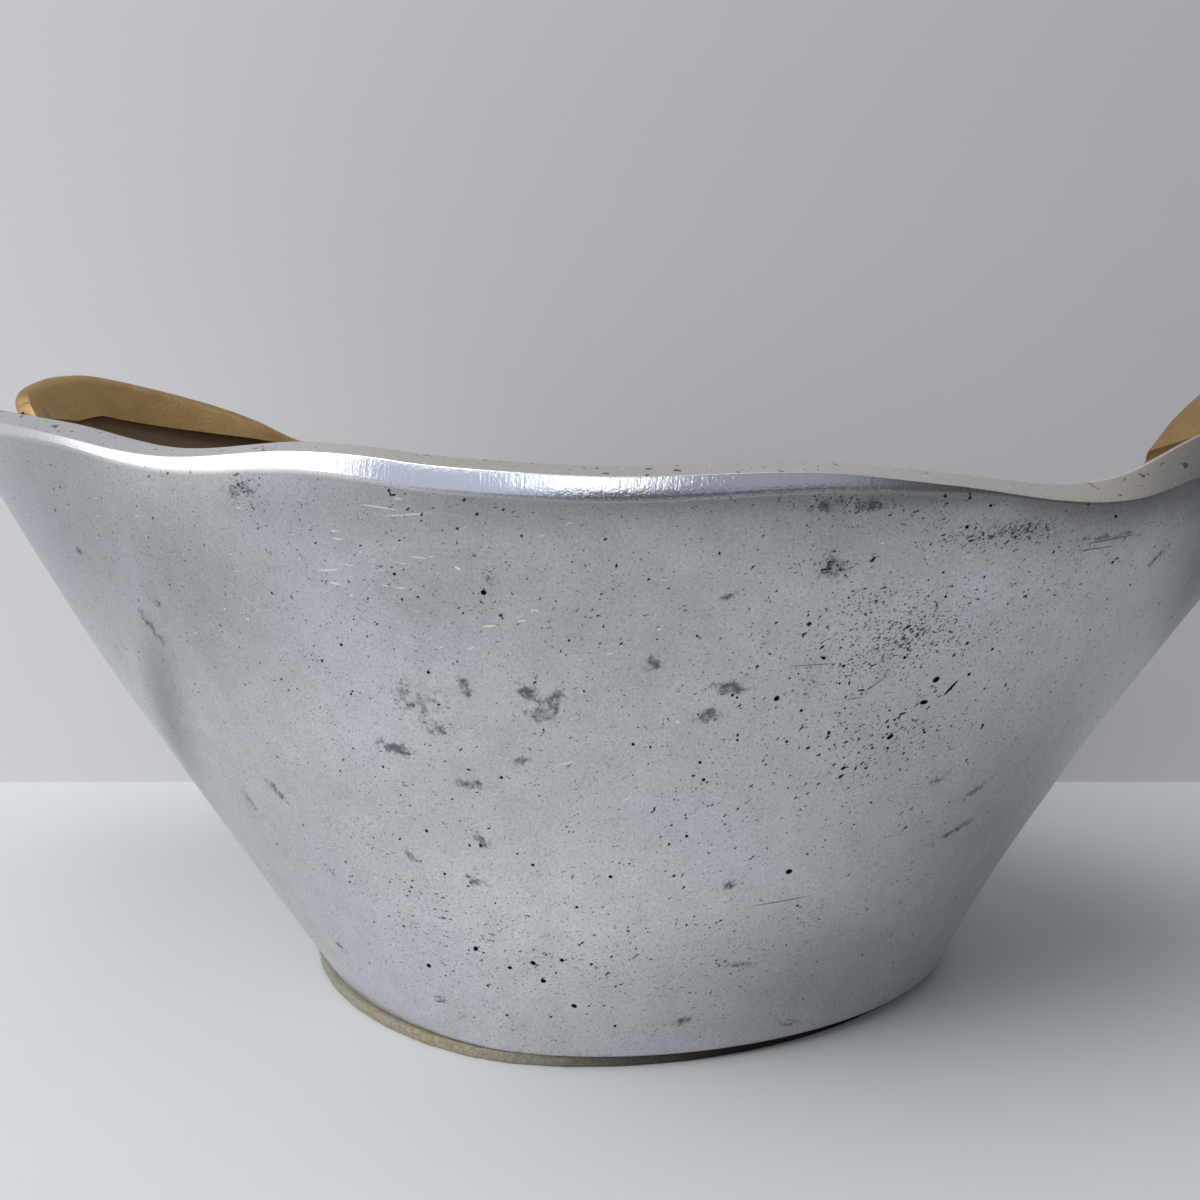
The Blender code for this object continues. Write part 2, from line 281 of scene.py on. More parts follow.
for share in BEVEL_SHARES:
    bulge = bevel_height * BEVEL_BULGE * 4 * share * (1 - share)
    height = edge - bevel_height * (1 - share) + bulge * BEVEL_SLOPE
    rows.append(in_wall(theta, height, ROLL_DEPTH + bevel_depth * share - bulge))
bevel_rows = len(rows)
for share in FACE_SHARES:
    depth = (ROLL_DEPTH + bevel_depth) * (1 - share) + (WALL - RIM_INNER_ROUND) * share
    rows.append(in_wall(theta, edge * (1 - share) + rim * share, depth))
for turn in np.linspace(0, math.pi / 2, RIM_ROUND_ROWS):
    depth = WALL - RIM_INNER_ROUND * (1 - math.sin(turn))
    rows.append(in_wall(theta, rim - RIM_INNER_ROUND * (1 - math.cos(turn)), depth))
rim_rows = len(rows)
inner_corner = level_in_wall(theta, FOOT_Z + FLOOR, WALL)
fillet_top = level_in_wall(theta, FOOT_Z + FLOOR + FLOOR_FILLET, WALL)
for share in np.linspace(0, 1, INSIDE_STEPS)[1:-1]:
    height = (rim - RIM_INNER_ROUND) * (1 - share) + (FOOT_Z + FLOOR + FLOOR_FILLET) * share
    square = in_wall(theta, height, WALL + hand_ripple(theta + 1, height) * math.sin(math.pi * share))
    rows.append(square * (1 - share) + level_in_wall(theta, height, WALL) * share)
rows += bend(fillet_top, inner_corner, inset(inner_corner, FLOOR_FILLET), FILLET_STEPS)
floor_edge = rows[-1]
rows += [floor_edge * (share, share, 1) for share in np.linspace(0.97, 0.03, FLOOR_ROWS)]
bowl_mesh = skin_mesh("bowl_casting", rows)

# Values for the material. A bevel of full height is bright all over. Lines left by turning fade towards the
# middle of the floor, and the file's lines fade upwards from the foot. A ramp by height paints shade on the
# upper part of the bowl.
FULL_BEVEL = 0.0025
TURNED_RADIUS = 0.070
FILED_HEIGHT = 0.022
UPWARD_SHADE_FROM = 0.020
UPWARD_SHADE_RISE = 0.085
points = np.array(rows)
radius = np.hypot(points[..., 0], points[..., 1])
row_number = np.arange(len(rows))[:, None] + np.zeros(COLUMNS)
on_bevel = (row_number >= wall_rows) & (row_number < bevel_rows)
on_face = (row_number >= bevel_rows) & (row_number < rim_rows)
outside = row_number < bevel_rows
paint(bowl_mesh, "buffed", on_bevel * np.clip(bevel_height / FULL_BEVEL, 0, 1))
paint(bowl_mesh, "rim_face", on_face * 1.0)
paint(bowl_mesh, "inside", (row_number >= rim_rows) * np.clip(radius / TURNED_RADIUS, 0, 1))
paint(bowl_mesh, "face_darkened", on_face * round_the_bowl(FACE_DARKENING, theta))
paint(bowl_mesh, "warm", on_face * round_the_bowl(FACE_WARMTH, theta))
paint(bowl_mesh, "near_foot", np.exp(-(points[..., 2] - FOOT_Z) / FILED_HEIGHT) * outside)
# Painted shade: a ramp by height that darkens the upper part of the bowl.
paint(bowl_mesh, "upward_shade_ramp", np.clip((points[..., 2] - UPWARD_SHADE_FROM) / UPWARD_SHADE_RISE, 0, 1))

# Patches on the outer wall: angle in degrees, height in mm, half-length and half-height in mm, tilt in
# degrees, and strength. Stains are old water and handling marks. Open pores came out with the grinding.
STAINS = (
    (279.4, 79.5, 2.6, 1.4, -35, 0.8), (281.2, 77.6, 1.6, 2.6, -10, 0.8), (280.2, 75.6, 2.8, 1.3, 5, 0.8),
    (288.8, 85, 1.7, 1.2, 0, 0.95), (287, 84, 0.7, 1, 0, 0.7), (294.8, 80.5, 3.2, 1.1, -5, 0.95),
    (293.5, 75.5, 2, 1.3, 20, 0.9), (264.5, 67.5, 3.6, 1.3, -16, 0.85), (270, 72, 2.6, 2, -40, 0.66),
    (273.8, 80, 0.8, 2.7, 6, 0.9), (268, 77, 5.5, 3.5, -30, 0.52), (293.3, 96.5, 1.5, 0.6, 0, 0.8),
    (246.5, 54, 1, 3.6, 40, 0.85), (273, 61.5, 2.4, 0.9, -8, 0.85), (278.2, 66.5, 1.4, 1, 30, 0.75),
    (276.8, 99, 1.3, 1.3, 0, 0.7), (273, 50, 2, 1.4, -30, 0.75), (262.8, 45, 2.4, 1, -40, 0.75),
    (271.5, 41.5, 2.2, 1.2, -20, 0.7), (299, 41, 2, 1, 30, 0.68), (299.5, 101.5, 3.4, 2.2, 0, 0.62),
    (242.2, 17, 3, 0.9, -20, 0.75), (260.5, 12, 2.6, 0.8, -10, 0.72), (263.8, 9, 1.4, 0.8, 30, 0.78),
    (297, 10, 2.4, 0.9, 10, 0.72), (313.5, 6, 2.6, 0.8, 0, 0.72), (303, 22.5, 3.6, 0.9, 0, 0.7),
    (325.2, 47, 5, 1, 25, 0.85), (324.2, 56, 3, 1.1, 45, 0.75), (312.5, 107.5, 7, 1.8, 6, 0.5),
    (239.5, 87, 1.3, 5.5, 35, 0.75), (233.8, 102, 2, 1, 0, 0.75), (242.5, 92, 1.2, 0.9, 0, 0.8),
    (257, 114, 4.5, 1.5, 0, 0.62), (299.2, 111.5, 5, 1.2, -5, 0.62), (320.8, 106, 7, 0.6, 4, 0.7),
    (298, 111, 2.4, 0.8, -4, 0.85), (301.2, 111.3, 3, 0.9, 4, 0.85), (328.2, 102.5, 1, 2.6, -20, 0.75),
    (249.5, 37.5, 2, 0.9, -40, 0.72), (240.3, 49.5, 1.2, 3, 40, 0.7), (318, 60, 4, 1.2, 20, 0.55),
    (20, 44, 2.6, 1, -15, 0.75), (50, 70, 3, 1.2, 20, 0.85), (78, 58, 2.2, 2, -30, 0.8),
    (84, 88, 3.2, 1.1, 5, 0.9), (97, 66, 2.6, 1.6, 35, 0.85), (118, 80, 1.6, 2.6, 0, 0.85),
    (134, 38, 2.4, 1, -20, 0.75), (160, 62, 2.8, 1.2, 15, 0.8), (190, 84, 1.4, 3.2, 30, 0.75),
    (62, 34, 2, 1.4, -25, 0.75), (108, 46, 3, 1.2, -10, 0.8), (355, 72, 2, 1.2, 0, 0.7),
)
OPEN_PORES = (
    (307.5, 69.5, 13, 11, 0, 1), (297, 62, 14, 12, 0, 0.55), (277.5, 25.5, 6, 5, 0, 0.85),
    (276, 95.5, 3.6, 3, 0, 1), (299.5, 101.5, 4, 2.4, 0, 0.9), (268, 62, 14, 14, 0, 0.3),
    (265, 24, 7, 6, 0, 0.3), (288, 38, 18, 14, 0, 0.3), (266, 92, 16, 13, 0, 0.36),
    (294, 92, 30, 20, 0, 0.2), (318, 78, 20, 24, 0, 0.45), (270, 110, 12, 5, 0, 0.34),
    (303, 80, 26, 22, 0, 0.66), (260, 68, 20, 26, 0, 0.34), (284, 28, 32, 14, 0, 0.55),
    (35, 60, 16, 14, 0, 0.6), (62, 84, 22, 18, 0, 0.5), (88, 40, 26, 16, 0, 0.55),
    (104, 74, 14, 12, 0, 0.9), (128, 52, 18, 16, 0, 0.5), (150, 86, 20, 14, 0, 0.55),
    (176, 50, 16, 18, 0, 0.45), (205, 70, 14, 20, 0, 0.35), (348, 60, 14, 20, 0, 0.4),
)
DRAWN_PORES = (
    (307, 89.5, 14, 8, 8, 0.92), (303, 95.5, 6, 3, 10, 0.85), (312, 88, 8, 5, 8, 0.7),
    (301, 88, 3, 2, -30, 0.7), (312.5, 107, 8.5, 2.6, 6, 0.95), (307.5, 106.5, 5, 1.8, 2, 0.7),
    (300, 102, 3.4, 2.2, -20, 0.9), (257, 113.5, 3.6, 2.6, -30, 0.85), (310.5, 106.8, 11, 2.4, 8, 1),
    (299, 111.6, 8, 1.6, 0, 0.85), (317, 100, 9, 7, 10, 0.45), (304.5, 109, 16, 4, 0, 0.4),
    (288, 24, 34, 9, 0, 0.3), (264, 30, 16, 16, -20, 0.4), (310, 70, 14, 12, 0, 0.5),
    (70, 96, 10, 5, 5, 0.8), (112, 98, 9, 4, -6, 0.8), (140, 66, 8, 5, 10, 0.7),
)
# Broad, soft areas of painted light and painted shade on the wall, standing in for brighter and darker
# reflections.
PAINTED_LIGHT_AREAS = ((284, 36, 42, 17, 0, 1), (259, 68, 24, 16, 0, 0.4))
PAINTED_SHADE_AREAS = (
    (236, 108, 34, 26, 0, 1), (264, 112, 42, 8, 0, 0.8), (233.5, 69, 30, 8, 54, 1.45),
    (300, 109, 26, 8, 0, 0.8), (314, 107, 26, 5, 0, 0.7), (326, 55, 24, 26, 0, 0.45),
    (246, 98, 30, 22, 0, 0.92), (258, 50, 36, 20, 0, 0.2), (272, 97, 15, 10, 0, 0.62),
    (313, 18, 26, 14, 0, 0.75), (285, 95, 22, 12, 0, 0.38), (60, 106, 30, 14, 0, 0.7),
    (120, 100, 34, 18, 0, 0.6), (165, 60, 24, 26, 0, 0.5), (95, 30, 26, 14, 0, 0.4),
    (303.5, 113, 15, 3.2, 0, 1.3),
)
SCUFFS = (
    (264, 98, 26, 12, 0, 1), (272, 110, 16, 4, 0, 0.9), (285, 72, 25, 20, 0, 0.45),
    (75, 100, 24, 10, 0, 0.8), (140, 94, 20, 8, 0, 0.7),
)
PAINTED_LIGHT_GAIN = 0.22
PAINTED_SHADE_LOSS = 0.32
PATCH_FALL = 0.7
PATCH_DEPTH_MM = 50


def patches(marks):
    """How strongly each point of the bowl lies in a list of patches."""
    total = np.zeros(points.shape[:-1])
    for angle, level, half_length, half_height, tilt, strength in marks:
        spot = math.radians(angle)
        out = wall_normal(spot, level / 1000)
        side = np.cross((0, 0, 1), out)
        side = side / np.linalg.norm(side)
        upward = np.cross(out, side)
        turn = math.radians(tilt)
        offset = (points - outer_wall(spot, level / 1000)) * 1000
        along = offset @ (side * math.cos(turn) + upward * math.sin(turn)) / half_length
        across = offset @ (upward * math.cos(turn) - side * math.sin(turn)) / half_height
        behind = offset @ out / PATCH_DEPTH_MM
        amount = strength * np.exp(-PATCH_FALL * (along ** 2 + across ** 2) - behind ** 4)
        total = np.maximum(total, amount)
    return total * outside


paint(bowl_mesh, "stained", patches(STAINS))
paint(bowl_mesh, "porous", patches(OPEN_PORES))
paint(bowl_mesh, "drawn", patches(DRAWN_PORES))
paint(bowl_mesh, "scuffed", patches(SCUFFS))
# Painted light and painted shade: this tone scales the wall's colour up in the light areas and down in the
# shade areas.
paint(bowl_mesh, "tone", 1 + PAINTED_LIGHT_GAIN * patches(PAINTED_LIGHT_AREAS) - PAINTED_SHADE_LOSS * patches(PAINTED_SHADE_AREAS))

# Sand-cast aluminium, brushed satin. The grey metal has cloudy cooler and warmer areas from uneven grinding.
# Gas pores in the casting show as black specks and dark dashes: painted shade in the holes, with dirt in
# them.
# Handling has left grey stains and nicks.
satin_aluminium = bpy.data.materials.new("satin_sand_cast_aluminium")
satin_aluminium.use_nodes = True
tree = satin_aluminium.node_tree
shader = tree.nodes["Principled BSDF"]
place = add_node(tree, "TexCoord").outputs["Object"]
metres = add_node(tree, "UVMap", uv_map="metres").outputs["UV"]
stained, porous, drawn, scuffed, tone, buffed, rim_face, inside, near_foot, upward_shade_ramp = [
    add_node(tree, "Attribute", attribute_name=name).outputs["Fac"]
    for name in (
        "stained", "porous", "drawn", "scuffed", "tone",
        "buffed", "rim_face", "inside", "near_foot", "upward_shade_ramp",
    )
]
CLOUD_MM = 42
MOTTLE_MM = 6
GRAIN_MM = 0.45
RAGGED_MM = 1.6
cloud = add_node(tree, "TexNoise", {
    "Vector": place, "Scale": 1000 / CLOUD_MM, "Detail": 2,
}).outputs["Fac"]
mottle = add_node(tree, "TexNoise", {
    "Vector": place, "Scale": 1000 / MOTTLE_MM, "Detail": 3,
}).outputs["Fac"]
grain = add_node(tree, "TexNoise", {
    "Vector": place, "Scale": 1000 / GRAIN_MM, "Detail": 1,
}).outputs["Fac"]
ragged = add_node(tree, "TexNoise", {
    "Vector": place, "Scale": 1000 / RAGGED_MM, "Detail": 4, "Roughness": 0.75,
}).outputs["Fac"]

STAIN_LIFT = 0.46
STAIN_STRENGTH = 0.85
stain = add_node(tree, "Math", {0: stained, 1: STAIN_LIFT, 2: ragged},
                 operation="MULTIPLY_ADD").outputs[0]
stain = add_node(tree, "MapRange", {"Value": stain, "From Min": 0.66, "From Max": 0.86}).outputs[0]

# Specks and dashes: spacing in mm, stretch along the wall, tilt, the patch that has most of them, how far it
# lowers the height at which the noise breaks through, that height on the plain wall, and their strength.
# The first ones are dark holes, and the last two are bright nicks.
SPECKS = (
    (0.50, 1.3, -30, porous, 0.050, 0.708, 0.60),
    (0.95, 1.4, -35, porous, 0.100, 0.745, 0.90),
    (0.60, 2.3, -8, drawn, 0.160, 0.750, 0.75),
    (0.42, 1.2, 0, drawn, 0.160, 0.735, 0.60),
    (1.20, 2.6, 10, rim_face, 0.150, 0.830, 0.70),
    (0.70, 9.0, 5, scuffed, 0.060, 0.775, 0.80),
    (0.65, 8.0, -24, scuffed, 0.055, 0.780, 0.80),
)
DARK_SPECKS = 5
SPECK_EDGE = 0.04
marks = []
for spacing, stretch, tilt, patch, lowered, level, strength in SPECKS:
    spot = add_node(tree, "Mapping", {
        "Vector": place, "Rotation": (0, math.radians(tilt), 0), "Scale": (stretch, 1, 1),
    }, vector_type="TEXTURE").outputs["Vector"]
    peaks = add_node(tree, "TexNoise", {"Vector": spot, "Scale": 1000 / spacing, "Detail": 1})
    peaks = add_node(tree, "Math", {0: patch, 1: lowered, 2: peaks.outputs["Fac"]},
                     operation="MULTIPLY_ADD").outputs[0]
    marks.append(add_node(tree, "MapRange", {
        "Value": peaks, "From Min": level, "From Max": level + SPECK_EDGE, "To Max": strength,
    }).outputs[0])
holes = marks[0]
for mark in marks[1:DARK_SPECKS]:
    holes = add_node(tree, "Math", {0: holes, 1: mark}, operation="MAXIMUM").outputs[0]
level_nicks, sloping_nicks = marks[DARK_SPECKS:]
nicks = add_node(tree, "Math", {0: level_nicks, 1: sloping_nicks}, operation="MAXIMUM").outputs[0]

# Larger round pores, far apart. A share of the cells has one, more of them in the porous patches.
PORE_SPACING_MM = 3.4
PORE_SHARE = 0.07
PORE_SHARE_GAIN = 0.55
PORE_RAGGEDNESS = 0.16
cells = add_node(tree, "TexVoronoi", {"Vector": place, "Scale": 1000 / PORE_SPACING_MM})
draw = add_node(tree, "SeparateColor", {"Color": cells.outputs["Color"]}).outputs["Red"]
pore_share = add_node(tree, "Math", {0: porous, 1: PORE_SHARE_GAIN, 2: PORE_SHARE},
                      operation="MULTIPLY_ADD").outputs[0]
opened = add_node(tree, "Math", {0: draw, 1: pore_share}, operation="LESS_THAN").outputs[0]
away = add_node(tree, "Math", {0: ragged, 1: PORE_RAGGEDNESS, 2: cells.outputs["Distance"]},
                operation="MULTIPLY_ADD").outputs[0]
hole = add_node(tree, "MapRange", {"Value": away, "From Min": 0.195, "From Max": 0.150}).outputs[0]
hole = add_node(tree, "Math", {0: hole, 1: opened}, operation="MULTIPLY").outputs[0]
holes = add_node(tree, "Math", {0: holes, 1: hole}, operation="MAXIMUM").outputs[0]

# The largest pores and scratches, one by one: angle in degrees, height, half-length and half-width in mm,
# and tilt in degrees.
LARGE_PORES = (
    (305.0, 43.0, 0.80, 0.70, 0), (269.2, 26.0, 0.75, 0.60, 60), (260.5, 20.0, 0.70, 0.60, 20),
    (277.8, 24.0, 0.70, 0.55, -40), (279.0, 20.0, 0.65, 0.55, 0), (311.5, 76.5, 1.00, 0.55, 0),
    (309.8, 70.0, 0.85, 0.50, 40), (298.5, 78.5, 0.70, 0.50, 60), (276.3, 97.0, 0.60, 0.55, 0),
    (281.5, 25.0, 0.55, 0.45, 0), (283.0, 14.5, 0.70, 0.55, -30), (274.5, 22.5, 0.55, 0.45, 0),
    (313.5, 79.0, 2.20, 0.35, 58), (311.6, 80.8, 0.80, 0.70, 40),
)
DARK_SCRATCHES = (
    (321.0, 105.6, 6.5, 0.22, 9), (320.0, 104.0, 5.0, 0.18, 6), (306.2, 80.5, 3.4, 0.20, 42),
    (305.4, 36.5, 7.0, 0.22, 6), (304.8, 78.0, 2.0, 0.16, 8), (300.5, 84.5, 5.0, 0.14, 2),
)
BRIGHT_SCRATCHES = (
    (268.2, 111.0, 4.4, 0.16, -8), (271.0, 109.8, 6.0, 0.14, 4), (262.5, 100.2, 2.6, 0.20, 4),
    (276.5, 91.2, 1.3, 0.26, 5), (282.1, 66.2, 2.3, 0.16, 20), (274.5, 101.0, 0.7, 0.30, -30),
    (280.0, 94.0, 0.8, 0.25, 10), (279.0, 92.2, 0.9, 0.20, 8),
)
MARK_DEPTH_MM = 1
MARK_EDGE = 0.3
drawn_marks = []
for deepest, spots, strength in (
    (holes, LARGE_PORES, 1.0), (0.0, DARK_SCRATCHES, 0.45), (nicks, BRIGHT_SCRATCHES, 0.7),
):
    for angle, level, half_length, half_width, tilt in spots:
        out = Vector(wall_normal(math.radians(angle), level / 1000))
        side = Vector((0, 0, 1)).cross(out).normalized()
        turned = Matrix((side, out.cross(side), out)).transposed()
        turned = turned @ Matrix.Rotation(math.radians(tilt), 3, "Z")
        local = add_node(tree, "Mapping", {
            "Vector": place, "Location": outer_wall(math.radians(angle), level / 1000),
            "Rotation": turned.to_euler(),
            "Scale": (half_length / 1000, half_width / 1000, MARK_DEPTH_MM / 1000),
        }, vector_type="TEXTURE").outputs["Vector"]
        ball = add_node(tree, "TexGradient", {"Vector": local},
                        gradient_type="SPHERICAL").outputs["Fac"]
        ball = add_node(tree, "MapRange", {
            "Value": ball, "From Max": MARK_EDGE, "To Max": strength,
        }).outputs[0]
        deepest = add_node(tree, "Math", {0: deepest, 1: ball}, operation="MAXIMUM").outputs[0]
    drawn_marks.append(deepest)
holes, scratches, nicks = drawn_marks
holes = add_node(tree, "Math", {0: holes, 1: scratches}, operation="MAXIMUM").outputs[0]
closed = add_node(tree, "MapRange", {"Value": buffed, "To Min": 1.0, "To Max": 0.15}).outputs[0]
holes = add_node(tree, "Math", {0: holes, 1: closed}, operation="MULTIPLY").outputs[0]

# Tool lines: up and down the wall near the foot and over the rim's edge, round and round inside.
LINE_WIDTH_MM = 0.62
LINE_LENGTH_MM = 22
upright = add_node(tree, "Mapping", {
    "Vector": metres, "Scale": (1000 / LINE_WIDTH_MM, 1000 / LINE_LENGTH_MM, 1),
}).outputs["Vector"]
upright = add_node(tree, "TexNoise", {"Vector": upright, "Scale": 1, "Detail": 3}).outputs["Fac"]
around = add_node(tree, "Mapping", {
    "Vector": metres, "Scale": (1000 / (2 * LINE_LENGTH_MM), 1000 / LINE_WIDTH_MM, 1),
}).outputs["Vector"]
around = add_node(tree, "TexNoise", {"Vector": around, "Scale": 1, "Detail": 3}).outputs["Fac"]

colour = add_node(tree, "MapRange", {"Value": cloud, "From Min": 0.35, "From Max": 0.65}).outputs[0]
colour = add_node(tree, "Mix", {0: colour, 6: linear("#ced1d6"), 7: linear("#cecfcf")},
                  data_type="RGBA").outputs[2]
MOTTLE_SHADE = 0.5
shade = add_node(tree, "Math", {0: mottle, 1: MOTTLE_SHADE, 2: grain},
                 operation="MULTIPLY_ADD").outputs[0]
shade = add_node(tree, "MapRange", {
    "Value": shade, "From Min": 0.45, "From Max": 1.05, "To Min": 0.84, "To Max": 1.16,
}).outputs[0]
# Painted shade, darker upwards: the colour is scaled from 1.03 low down to 0.87 high up.
upper_wall_shade = add_node(tree, "MapRange", {"Value": upward_shade_ramp, "To Min": 1.03, "To Max": 0.87}).outputs[0]
shade = add_node(tree, "Math", {0: shade, 1: upper_wall_shade}, operation="MULTIPLY").outputs[0]
# The tone attribute paints light and shade into the colour.
shade = add_node(tree, "Math", {0: shade, 1: tone}, operation="MULTIPLY").outputs[0]
colour = add_node(tree, "Mix", {0: 1.0, 6: colour, 7: shade}, data_type="RGBA",
                  blend_type="MULTIPLY").outputs[2]
colour = add_node(tree, "Mix", {0: buffed, 6: colour, 7: linear("#eef0f2")},
                  data_type="RGBA").outputs[2]
dulled = add_node(tree, "MapRange", {"Value": ragged, "To Min": 0.5, "To Max": 1.1}).outputs[0]
dulled = add_node(tree, "Math", {0: rim_face, 1: dulled},
                  operation="MULTIPLY", use_clamp=True).outputs[0]
# The rim's face is darkened in patches, by an amount given for each angle.
face_darkened = add_node(tree, "Attribute", attribute_name="face_darkened").outputs["Fac"]
face_darkened = add_node(tree, "Math", {0: face_darkened, 1: dulled}, operation="MULTIPLY").outputs[0]
warm = add_node(tree, "Attribute", attribute_name="warm").outputs["Fac"]
dull_face = add_node(tree, "Mix", {0: warm, 6: linear("#c8cacd"), 7: linear("#cfc9c1")},
                     data_type="RGBA", clamp_factor=False).outputs[2]
colour = add_node(tree, "Mix", {0: dulled, 6: colour, 7: dull_face},
                  data_type="RGBA").outputs[2]
colour = add_node(tree, "Mix", {0: face_darkened, 6: colour, 7: linear("#6c6865")},
                  data_type="RGBA").outputs[2]
marked = add_node(tree, "Math", {0: stain, 1: STAIN_STRENGTH}, operation="MULTIPLY").outputs[0]
colour = add_node(tree, "Mix", {0: marked, 6: colour, 7: linear("#60666d")},
                  data_type="RGBA").outputs[2]
colour = add_node(tree, "Mix", {0: nicks, 6: colour, 7: linear("#f2f4f6")},
                  data_type="RGBA").outputs[2]
# Pores and dark scratches turn near black: painted shade in the holes, together with dirt.
colour = add_node(tree, "Mix", {0: holes, 6: colour, 7: linear("#17191c")},
                  data_type="RGBA").outputs[2]
tree.links.new(colour, shader.inputs["Base Color"])

gloss = add_node(tree, "MapRange", {
    "Value": cloud, "From Min": 0.3, "From Max": 0.7, "To Min": 0.31, "To Max": 0.39,
}).outputs[0]
for amount, level in ((buffed, 0.15), (rim_face, 0.50), (nicks, 0.22), (stain, 0.60), (holes, 0.90)):
    gloss = add_node(tree, "Mix", {0: amount, 2: gloss, 3: level}).outputs[0]
tree.links.new(gloss, shader.inputs["Roughness"])

# Relief: file lines, the buffing wheel's dabs on the bevel, turning inside, and the casting's own grain.
BEVEL_LINES = 0.5
BEVEL_DABS = 0.8
GRAIN_RELIEF = 0.25
MOTTLE_RELIEF = 0.6
RELIEF_DEPTH = 0.00010
filed = add_node(tree, "Math", {0: buffed, 1: BEVEL_LINES}, operation="MULTIPLY").outputs[0]
filed = add_node(tree, "Math", {0: near_foot, 1: filed}, operation="MAXIMUM").outputs[0]
relief = add_node(tree, "Math", {0: upright, 1: filed}, operation="MULTIPLY").outputs[0]
dabs = add_node(tree, "Math", {0: ragged, 1: buffed}, operation="MULTIPLY").outputs[0]
relief = add_node(tree, "Math", {0: dabs, 1: BEVEL_DABS, 2: relief},
                  operation="MULTIPLY_ADD").outputs[0]
turned = add_node(tree, "Math", {0: around, 1: inside}, operation="MULTIPLY").outputs[0]
relief = add_node(tree, "Math", {0: relief, 1: turned}, operation="ADD").outputs[0]
relief = add_node(tree, "Math", {0: grain, 1: GRAIN_RELIEF, 2: relief},
                  operation="MULTIPLY_ADD").outputs[0]
relief = add_node(tree, "Math", {0: mottle, 1: MOTTLE_RELIEF, 2: relief},
                  operation="MULTIPLY_ADD").outputs[0]
bump = add_node(tree, "Bump", {
    "Height": relief, "Distance": RELIEF_DEPTH, "Strength": 0.7,
}).outputs[0]
tree.links.new(bump, shader.inputs["Normal"])
skin = add_node(tree, "MapRange", {"Value": rim_face, "To Min": 1.0, "To Max": 0.35}).outputs[0]
tree.links.new(skin, shader.inputs["Metallic"])
bowl_mesh.materials.append(satin_aluminium)

bowl = bpy.data.objects.new("bowl_casting", bowl_mesh)
bpy.context.scene.collection.objects.link(bowl)
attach(bowl, "root")
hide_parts("bowl_body")


# Brass handles
# Two brass castings, one at each end, with a thick round crest on the rim and a thin tang down inside the
# wall, where it is riveted. The crest is half-polished where hands hold it. The tang and the hollow under
# the crest are painted dark brown, partly patina and partly painted shade.
SEAT_GAP = 0.0003
CREST_SETBACK = 0.0018
END_TAPER = 0.0028
COVE_DROP = 0.0015
CREST_THICKNESS = 0.0112
CREST_DISH = 0.0022
TANG = 0.0030
TANG_DROP = 0.0250
TANG_END_DROP = 0.0060
LEFT_CREST = (
    (189.2, 0.0015), (188.5, 0.0042), (186.8, 0.0068), (183, 0.0099), (179, 0.0122), (175, 0.0143),
    (170, 0.0164), (163, 0.0162), (155, 0.0136), (149, 0.0096), (145, 0.0050), (139, 0.0015),
)
RIGHT_CREST = (
    (30, 0.0015), (28.4, 0.0095), (27, 0.0165), (25, 0.0199), (20, 0.0195), (12, 0.0175), (2, 0.0120),
    (-6, 0.0065), (-12, 0.0030), (-18, 0.0015),
)
TANG_DEPTH = WALL + SEAT_GAP
TANG_FACE = TANG_DEPTH + TANG
STATIONS = 120
STATION_CROWDING = 1.25
CREST_ROWS = 19
COVE_ROWS = 7
TANG_ROWS = 9
# Places along a handle, as shares of its length from the steep end.
HOLLOW_START = 0.20
HOLLOW_START_FADE = 0.14
HOLLOW_END = 0.93
HOLLOW_END_FADE = 0.12
LIP_CHANGE = 0.34
LIP_CHANGE_FADE = 0.12
TAIL_START = 0.90
# Shares of the thin end and of the crest's rise, and how full the tang's and the dish's curves are.
TAPER_SHARE = 0.4
CROWN_SHARE = 0.6
LIP_SHARE = 0.3
TANG_FULLNESS = 0.7
DISH_LEAN = 0.8
SHARP_EDGE = math.radians(50)


